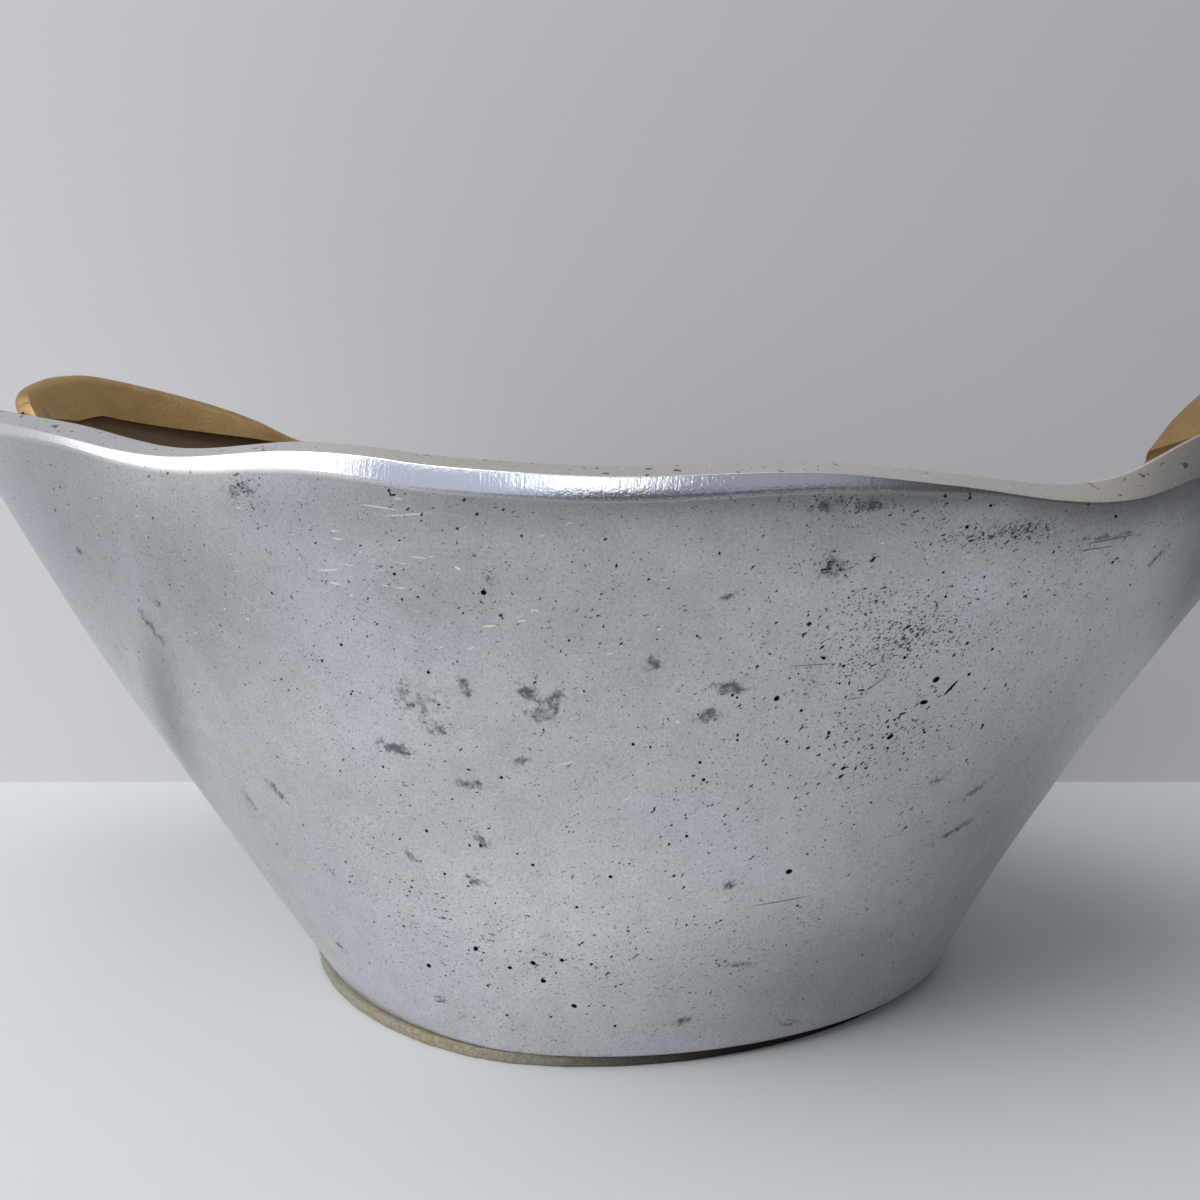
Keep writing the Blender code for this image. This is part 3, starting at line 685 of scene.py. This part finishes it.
def handle_rows(crest, thin_end, first_lip, later_lip):
    """Sections of a handle from its steep end to its tail, and how dark each point's patina and painted shade
    is.
    """
    share = np.linspace(0, 1, STATIONS) ** STATION_CROWDING
    angle = np.radians(crest[0][0] + (crest[-1][0] - crest[0][0]) * share)
    ordered = sorted(crest)
    beyond = 10
    first = (ordered[0][0] - beyond, ordered[0][1])
    last = (ordered[-1][0] + beyond, ordered[-1][1])
    rise = smooth_curve([first, *ordered, last], np.degrees(angle))
    seat = rim_height(angle) + SEAT_GAP
    low = rim_height(angle) - TANG_END_DROP
    low = low - (TANG_DROP - TANG_END_DROP) * np.sin(math.pi * share) ** TANG_FULLNESS
    full = np.minimum(1, rise / CREST_THICKNESS)
    dish = CREST_DISH * np.sin(math.pi * share ** DISH_LEAN) ** 2
    hollow = np.clip((share - HOLLOW_START) / HOLLOW_START_FADE, 0, 1)
    hollow = hollow * np.clip((HOLLOW_END - share) / HOLLOW_END_FADE, 0, 1)
    swell = np.sin(np.clip(share / thin_end, 0, 1) * math.pi / 2) ** 2
    inner = TANG_FACE + (CREST_SETBACK + CREST_THICKNESS - dish - TANG_FACE) * full * swell
    taper = 1 - np.sin(np.clip(share / (TAPER_SHARE * thin_end), 0, 1) * math.pi / 2)
    tail = np.clip((share - TAIL_START) / (1 - TAIL_START), 0, 1) ** 2
    setback = CREST_SETBACK + END_TAPER * taper + (TANG_DEPTH - CREST_SETBACK) * tail
    half = (inner - setback) / 2
    crown = np.minimum(half, rise * CROWN_SHARE)
    early = np.clip((LIP_CHANGE - share) / LIP_CHANGE_FADE, 0, 1)
    lip = seat + np.minimum(rise * LIP_SHARE, later_lip + (first_lip - later_lip) * early)
    cove = np.maximum(np.minimum(seat, lip) - COVE_DROP, low + TANG)
    outline = [(setback, seat, 0 * seat)]
    for turn in np.linspace(0, math.pi, CREST_ROWS):
        depth = setback + half * (1 - math.cos(turn))
        outline.append((depth, seat + rise - crown * (1 - math.sin(turn)), 0 * seat))
    for turn in np.linspace(0, math.pi / 2, COVE_ROWS):
        depth = inner - (inner - TANG_FACE) * math.sin(turn)
        outline.append((depth, lip - (lip - cove) * (1 - math.cos(turn)), hollow * (turn > 0)))
    for drop in np.linspace(0, 1, TANG_ROWS)[1:]:
        outline.append((TANG_FACE + 0 * seat, cove * (1 - drop) + (low + TANG) * drop, hollow))
    for turn in np.linspace(0, math.pi, TANG_ROWS)[1:]:
        depth = TANG_FACE - TANG / 2 * (1 - math.cos(turn))
        outline.append((depth, low + TANG - TANG * math.sin(turn), hollow))
    outline.append((TANG_DEPTH + 0 * seat, seat, hollow))
    sections = np.array([in_wall(angle, height, depth) for depth, height, _ in outline])
    dark = np.array([patina_and_shade for _, _, patina_and_shade in outline])
    return sections.transpose(1, 0, 2), dark.T


# Cast brass, half polished. Worn high places are a soft yellow, and the hollows are painted brown, partly
# tarnish and partly painted shade.
handle_brass = bpy.data.materials.new("half_polished_cast_brass")
handle_brass.use_nodes = True
tree = handle_brass.node_tree
shader = tree.nodes["Principled BSDF"]
place = add_node(tree, "TexCoord").outputs["Object"]
# Patina and painted shade: a dark brown in the hollow under the crest and on the tang.
patina_and_shade = add_node(tree, "Attribute", attribute_name="patina_and_shade").outputs["Fac"]
BLOOM_MM = 7.5
SPECK_MM = 0.7
RUB_LENGTH_MM = 8
RUB_WIDTH_MM = 0.8
bloom = add_node(tree, "TexNoise", {
    "Vector": place, "Scale": 1000 / BLOOM_MM, "Detail": 5,
}).outputs["Fac"]
speck = add_node(tree, "TexNoise", {
    "Vector": place, "Scale": 1000 / SPECK_MM, "Detail": 3,
}).outputs["Fac"]
rubbed = add_node(tree, "Mapping", {
    "Vector": place, "Scale": (1000 / RUB_LENGTH_MM, 1000 / RUB_WIDTH_MM, 1000 / RUB_WIDTH_MM),
}).outputs["Vector"]
rubbed = add_node(tree, "TexNoise", {"Vector": rubbed, "Scale": 1, "Detail": 3}).outputs["Fac"]
BLOOM_STRENGTH = 0.7
brown = add_node(tree, "Math", {0: bloom, 1: BLOOM_STRENGTH, 2: patina_and_shade},
                 operation="MULTIPLY_ADD").outputs[0]
brown = add_node(tree, "MapRange", {"Value": brown, "From Min": 0.20, "From Max": 1.1}).outputs[0]
colour = add_node(tree, "Mix", {0: speck, 6: linear("#c4a26c"), 7: linear("#a98a5e")},
                  data_type="RGBA").outputs[2]
colour = add_node(tree, "Mix", {0: brown, 6: colour, 7: linear("#6b543a")},
                  data_type="RGBA").outputs[2]
tree.links.new(colour, shader.inputs["Base Color"])
gloss = add_node(tree, "MapRange", {"Value": rubbed, "To Min": 0.32, "To Max": 0.50}).outputs[0]
gloss = add_node(tree, "Mix", {0: brown, 2: gloss, 3: 0.62}).outputs[0]
tree.links.new(gloss, shader.inputs["Roughness"])
relief = add_node(tree, "Math", {0: speck, 1: rubbed}, operation="ADD").outputs[0]
BRASS_RELIEF = 0.00012
bump = add_node(tree, "Bump", {
    "Height": relief, "Distance": BRASS_RELIEF, "Strength": 0.5,
}).outputs[0]
tree.links.new(bump, shader.inputs["Normal"])
skin = add_node(tree, "MapRange", {"Value": brown, "To Min": 1.0, "To Max": 0.45}).outputs[0]
tree.links.new(skin, shader.inputs["Metallic"])

# Each handle's side, its crest, the share of its length over which the steep end swells to full thickness,
# and the height of the crest's lower lip above the seat, first at the steep end and then along the rest.
for side, crest, thin_end, first_lip, later_lip in (
    ("left", LEFT_CREST, 0.34, -0.0029, 0.0008), ("right", RIGHT_CREST, 0.02, -0.0015, -0.0015),
):
    sections, dark = handle_rows(crest, thin_end, first_lip, later_lip)
    handle_mesh = skin_mesh(side + "_brass_handle", sections)
    handle_mesh.set_sharp_from_angle(angle=SHARP_EDGE)
    paint(handle_mesh, "patina_and_shade", dark)
    handle_mesh.materials.append(handle_brass)
    handle = bpy.data.objects.new(side + "_brass_handle", handle_mesh)
    bpy.context.scene.collection.objects.link(handle)
    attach(handle, "root")
    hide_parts(side + "_handle")


# Rivets
# Six solid brass rivets, three through each handle's tang and the wall behind it.
# Each is set with a hammer, so its outer dome is not quite round, and its inner end is spread to a low dome.
RIVET_DIAMETER = 0.0045
HEAD_DIAMETER = 0.0095
TAIL_DIAMETER = 0.0072
HEAD_HEIGHT = 0.0028
TAIL_HEIGHT = 0.0016
RIVET_RISE = 0.0130
LEFT_RIVETS = (179.29, 166.54, 153.79)
RIGHT_RIVETS = (19.92, 7.92, -4.08)
RIVET_COLUMNS = 48
TAIL_ROWS = 12
HEAD_ROWS = 16
DOME_START = 0.03
DIRT_ON_TOP = 0.2
DIRT_AT_JOINT = 0.8
HAMMERED = 0.025
HAMMERED_FINE = 0.012

# Hammered brass. Small flat facets catch the light, and the joint round the head is brown with dirt.
rivet_brass = bpy.data.materials.new("hammered_rivet_brass")
rivet_brass.use_nodes = True
tree = rivet_brass.node_tree
shader = tree.nodes["Principled BSDF"]
place = add_node(tree, "TexCoord").outputs["Object"]
dirt = add_node(tree, "Attribute", attribute_name="dirt").outputs["Fac"]
FACET_MM = 1.6
TARNISH_MM = 2.4
FACET_DEPTH = 0.0004
facets = add_node(tree, "TexVoronoi", {
    "Vector": place, "Scale": 1000 / FACET_MM,
}).outputs["Distance"]
bloom = add_node(tree, "TexNoise", {
    "Vector": place, "Scale": 1000 / TARNISH_MM, "Detail": 4,
}).outputs["Fac"]
brown = add_node(tree, "Math", {0: bloom, 1: dirt}, operation="MULTIPLY").outputs[0]
brown = add_node(tree, "MapRange", {"Value": brown, "From Min": 0.2, "From Max": 0.6}).outputs[0]
colour = add_node(tree, "Mix", {0: bloom, 6: linear("#c9a566"), 7: linear("#ab8a54")},
                  data_type="RGBA").outputs[2]
colour = add_node(tree, "Mix", {0: brown, 6: colour, 7: linear("#3f3122")},
                  data_type="RGBA").outputs[2]
tree.links.new(colour, shader.inputs["Base Color"])
gloss = add_node(tree, "MapRange", {"Value": bloom, "To Min": 0.22, "To Max": 0.45}).outputs[0]
tree.links.new(gloss, shader.inputs["Roughness"])
bump = add_node(tree, "Bump", {"Height": facets, "Distance": FACET_DEPTH, "Strength": 0.5}).outputs[0]
tree.links.new(bump, shader.inputs["Normal"])
shader.inputs["Metallic"].default_value = 1.0

ring = np.linspace(0, 2 * math.pi, RIVET_COLUMNS, endpoint=False)
for side, angles in (("left", LEFT_RIVETS), ("right", RIGHT_RIVETS)):
    for number, angle in enumerate(angles, 1):
        spot = math.radians(angle)
        level = rim_height(np.array([spot]))[0] - TANG_DROP + RIVET_RISE
        out = wall_normal(spot, level)
        across = np.cross((0, 0, 1), out)
        across = across / np.linalg.norm(across)
        upward = np.cross(out, across)
        profile = []
        for turn in np.linspace(DOME_START, 1, TAIL_ROWS) * math.pi / 2:
            radius = TAIL_DIAMETER / 2 * math.sin(turn)
            dirty = DIRT_ON_TOP + DIRT_AT_JOINT * math.sin(turn) ** 8
            profile.append((radius, -TANG_FACE - TAIL_HEIGHT * math.cos(turn), dirty))
        profile.append((RIVET_DIAMETER / 2, -TANG_FACE, 1.0))
        profile.append((RIVET_DIAMETER / 2, 0.0, 1.0))
        for turn in np.linspace(1, DOME_START, HEAD_ROWS) * math.pi / 2:
            radius = HEAD_DIAMETER / 2 * math.sin(turn)
            dirty = DIRT_ON_TOP + DIRT_AT_JOINT * math.sin(turn) ** 8
            profile.append((radius, HEAD_HEIGHT * math.cos(turn), dirty))
        rings = []
        for radius, reach, _ in profile:
            uneven = 1 + HAMMERED * np.sin(3 * ring + number)
            uneven += HAMMERED_FINE * np.sin(7 * ring + 2 * number)
            sideways = np.outer(radius * uneven * np.cos(ring), across)
            upwards = np.outer(radius * uneven * np.sin(ring), upward)
            rings.append(outer_wall(spot, level) + out * reach + sideways + upwards)
        name = side + "_rivet_" + str(number)
        rivet_mesh = skin_mesh("brass_" + name, rings)
        paint(rivet_mesh, "dirt", [[dirty] * len(ring) for _, _, dirty in profile])
        rivet_mesh.materials.append(rivet_brass)
        rivet = bpy.data.objects.new("brass_" + name, rivet_mesh)
        bpy.context.scene.collection.objects.link(rivet)
        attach(rivet, "root")
        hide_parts(name)


# Base pad
# A sheet of fine cork glued under the foot, so that the casting does not scratch the table.
# It is cut by hand with a slightly ragged edge, a little inside the foot but proud of it at the front left.
# Its edge is clean at the left and painted near black at the front right, a painted shadow for the gap under
# the foot.
PAD_INSET = 0.0008
PAD_SHIFT = -0.0016
PAD_EDGE = 0.0004
PAD_LONG = 0.0019
PAD_LONG_TURN = math.radians(240)
# How black the pad's edge is painted at each angle: a painted shadow, strongest at the front right.
PAD_GAP_SHADE = (
    (5, 0.60), (60, 0.20), (120, 0), (180, 0), (262, 0), (274, 0.10), (281, 0.30), (288, 0.60), (296, 0.80),
    (304, 0.95), (312, 1), (330, 1), (342, 0.90),
)
BROAD_NICKS = 0.00012
MIDDLE_NICKS = 0.00009
FINE_NICKS = 0.00005
SHEET_SHARES = np.linspace(0.05, 0.97, 10)
PAD_EDGE_ROWS = 9

longer = PAD_LONG * np.clip(np.cos(theta - PAD_LONG_TURN), 0, 1)
outline = inset(outer_wall(theta, FOOT_Z), FOOT_ROUND + PAD_INSET - longer) + (PAD_SHIFT, 0, -FOOT_Z)
ragged_edge = BROAD_NICKS * np.sin(41 * theta + 0.4) + MIDDLE_NICKS * np.sin(97 * theta) * np.sin(13 * theta)
ragged_edge += FINE_NICKS * np.sin(211 * theta + 2.0)
rings = [outline * (share, share, 1) for share in SHEET_SHARES]
for turn in np.linspace(0, math.pi, PAD_EDGE_ROWS):
    bulge = ragged_edge * math.sin(turn) - PAD_EDGE * (1 - math.sin(turn))
    rings.append(inset(outline, -bulge) + (0, 0, FOOT_Z * (1 - math.cos(turn)) / 2))
rings += [outline * (share, share, 1) + (0, 0, FOOT_Z) for share in SHEET_SHARES[::-1]]
pad_mesh = skin_mesh("cork_pad", rings)
paint(pad_mesh, "gap_shade", [round_the_bowl(PAD_GAP_SHADE, theta)] * len(rings))

# Pressed cork. Pale grains of a millimetre or so lie between darker seams, dusty and quite dull.
pressed_cork = bpy.data.materials.new("cut_pressed_cork")
pressed_cork.use_nodes = True
tree = pressed_cork.node_tree
shader = tree.nodes["Principled BSDF"]
place = add_node(tree, "TexCoord").outputs["Object"]
CORK_GRAIN_MM = 1.25
DUST_MM = 11
SEAM_DEPTH = 0.0002
grains = add_node(tree, "TexVoronoi", {"Vector": place, "Scale": 1000 / CORK_GRAIN_MM})
seams = add_node(tree, "TexVoronoi", {"Vector": place, "Scale": 1000 / CORK_GRAIN_MM},
                 feature="DISTANCE_TO_EDGE")
tone = add_node(tree, "SeparateColor", {"Color": grains.outputs["Color"]}).outputs["Red"]
dust = add_node(tree, "TexNoise", {
    "Vector": place, "Scale": 1000 / DUST_MM, "Detail": 4,
}).outputs["Fac"]
colour = add_node(tree, "Mix", {0: tone, 6: linear("#a9a491"), 7: linear("#a09171")},
                  data_type="RGBA").outputs[2]
dusty = add_node(tree, "MapRange", {"Value": dust, "From Min": 0.35, "From Max": 0.65}).outputs[0]
colour = add_node(tree, "Mix", {0: dusty, 6: colour, 7: linear("#a09b8c")},
                  data_type="RGBA").outputs[2]
seam = add_node(tree, "MapRange", {
    "Value": seams.outputs["Distance"], "From Min": 0.10, "From Max": 0.02, "To Max": 0.35,
}).outputs[0]
colour = add_node(tree, "Mix", {0: seam, 6: colour, 7: linear("#4a402d")},
                  data_type="RGBA").outputs[2]
# Painted shadow: the cork turns near black where the gap under the foot is darkest.
gap_shade = add_node(tree, "Attribute", attribute_name="gap_shade").outputs["Fac"]
colour = add_node(tree, "Mix", {0: gap_shade, 6: colour, 7: linear("#16120e")},
                  data_type="RGBA").outputs[2]
tree.links.new(colour, shader.inputs["Base Color"])
bump = add_node(tree, "Bump", {
    "Height": seams.outputs["Distance"], "Distance": SEAM_DEPTH, "Strength": 0.6,
}).outputs[0]
tree.links.new(bump, shader.inputs["Normal"])
shader.inputs["Roughness"].default_value = 0.9
pad_mesh.materials.append(pressed_cork)

pad = bpy.data.objects.new("cork_pad", pad_mesh)
bpy.context.scene.collection.objects.link(pad)
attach(pad, "root")
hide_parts("base_pad")


# Stage
# A plain pale table, and a plain pale wall that crosses it close behind the bowl.
# Both are in matt paint and show only from their front side, so they block no view from behind or below.
VIEW_TURN = math.radians(19)
CAMERA_DISTANCE = 0.32465
BACKDROP_DISTANCE = 0.498
TABLE_FRONT = 0.33
TABLE_REAR = 0.80
TABLE_LEFT = 0.70
TABLE_RIGHT = 0.29
BACKDROP_HALF_WIDTH = 2
BACKDROP_HEIGHT = 2

rightward = Vector((math.cos(VIEW_TURN), math.sin(VIEW_TURN), 0))
level_view = Vector((-math.sin(VIEW_TURN), math.cos(VIEW_TURN), 0))
foot = level_view * (BACKDROP_DISTANCE - CAMERA_DISTANCE)
tall = Vector((0, 0, BACKDROP_HEIGHT))
aside = rightward * BACKDROP_HALF_WIDTH
front = -level_view * TABLE_FRONT
rear = level_view * TABLE_REAR
leftmost = -rightward * TABLE_LEFT
rightmost = rightward * TABLE_RIGHT
table_corners = [front + leftmost, front + rightmost, rear + rightmost, rear + leftmost]
wall_corners = [foot - aside, foot + aside, foot + aside + tall, foot - aside + tall]
for name, corners, paint_colour in (
    ("table", table_corners, "#eff1f2"), ("backdrop", wall_corners, "#dddddf"),
):
    stage_mesh = bpy.data.meshes.new(name)
    stage_mesh.from_pydata(corners, [], [(0, 1, 2, 3)])
    matt_paint = bpy.data.materials.new("pale_matt_paint_" + name)
    matt_paint.use_nodes = True
    tree = matt_paint.node_tree
    shader = tree.nodes["Principled BSDF"]
    shader.inputs["Base Color"].default_value = linear(paint_colour)
    shader.inputs["Roughness"].default_value = 0.7
    behind = add_node(tree, "NewGeometry").outputs["Backfacing"]
    clear = add_node(tree, "BsdfTransparent").outputs[0]
    sided = add_node(tree, "MixShader", {0: behind, 1: shader.outputs[0], 2: clear}).outputs[0]
    tree.links.new(sided, tree.nodes["Material Output"].inputs["Surface"])
    stage_mesh.materials.append(matt_paint)
    stage_piece = bpy.data.objects.new(name, stage_mesh)
    bpy.context.scene.collection.objects.link(stage_piece)


# Camera
# It stands close in front of the bowl, a little to its right, level with the lower part of the rim, and looks
# about 4 degrees down.
CAMERA_HEIGHT = 0.11149
CAMERA_SIDESTEP = -0.00757
CAMERA_DIP = 0.07585
CAMERA_LENS_MM = 37.5
SENSOR_WIDTH_MM = 36
NEAREST = 0.01

view = level_view * math.cos(CAMERA_DIP) - Vector((0, 0, 1)) * math.sin(CAMERA_DIP)
camera_data = bpy.data.cameras.new("camera")
camera_data.sensor_width = SENSOR_WIDTH_MM
camera_data.lens = CAMERA_LENS_MM
camera_data.clip_start = NEAREST
camera = bpy.data.objects.new("camera", camera_data)
camera.location = rightward * CAMERA_SIDESTEP - level_view * CAMERA_DISTANCE + Vector((0, 0, CAMERA_HEIGHT))
axes = Matrix((rightward, rightward.cross(view), -view)).transposed()
camera.rotation_euler = axes.to_euler()
bpy.context.scene.collection.objects.link(camera)
bpy.context.scene.camera = camera


# Light
# Soft daylight in a dim room: a large window at the front left, a skylight and a bright ceiling above, two
# dimmer windows in front, and a doorway at the front right. Sizes are in metres and power is in watts.
LAMP_AIM = Vector((0, 0, 0.08))
ROOM_STRENGTH = 0.16
for name, place, wide, high, watts, tint in (
    ("window", (-1.165, -0.845, 0.45), 1.32, 1.40, 8.8, "#ffffff"),
    ("skylight", (-0.6, -1.3, 1.3), 1.0, 1.0, 8.0, "#ffffff"),
    ("ceiling", (0.0, -0.35, 1.5), 1.2, 1.2, 7.1, "#ffffff"),
    ("low_window", (-0.35, -1.4, 0.25), 0.9, 1.2, 1.9, "#d8e2fa"),
    ("far_window", (0.22, -1.6, 0.55), 0.40, 0.70, 1.4, "#f0f4ff"),
    ("doorway", (0.93, -1.33, 0.40), 1.00, 0.90, 0.80, "#dce4fa"),
):
    lamp_data = bpy.data.lights.new(name, "AREA")
    lamp_data.shape = "RECTANGLE"
    lamp_data.size = wide
    lamp_data.size_y = high
    lamp_data.energy = watts
    lamp_data.color = linear(tint)[:3]
    lamp = bpy.data.objects.new(name, lamp_data)
    lamp.location = place
    lamp.rotation_euler = (LAMP_AIM - lamp.location).to_track_quat("-Z", "Y").to_euler()
    bpy.context.scene.collection.objects.link(lamp)
world = bpy.data.worlds.new("room")
world.use_nodes = True
world.node_tree.nodes["Background"].inputs["Color"].default_value = linear("#c9ccd0")
world.node_tree.nodes["Background"].inputs["Strength"].default_value = ROOM_STRENGTH
bpy.context.scene.world = world
bpy.context.scene.view_settings.view_transform = "Standard"
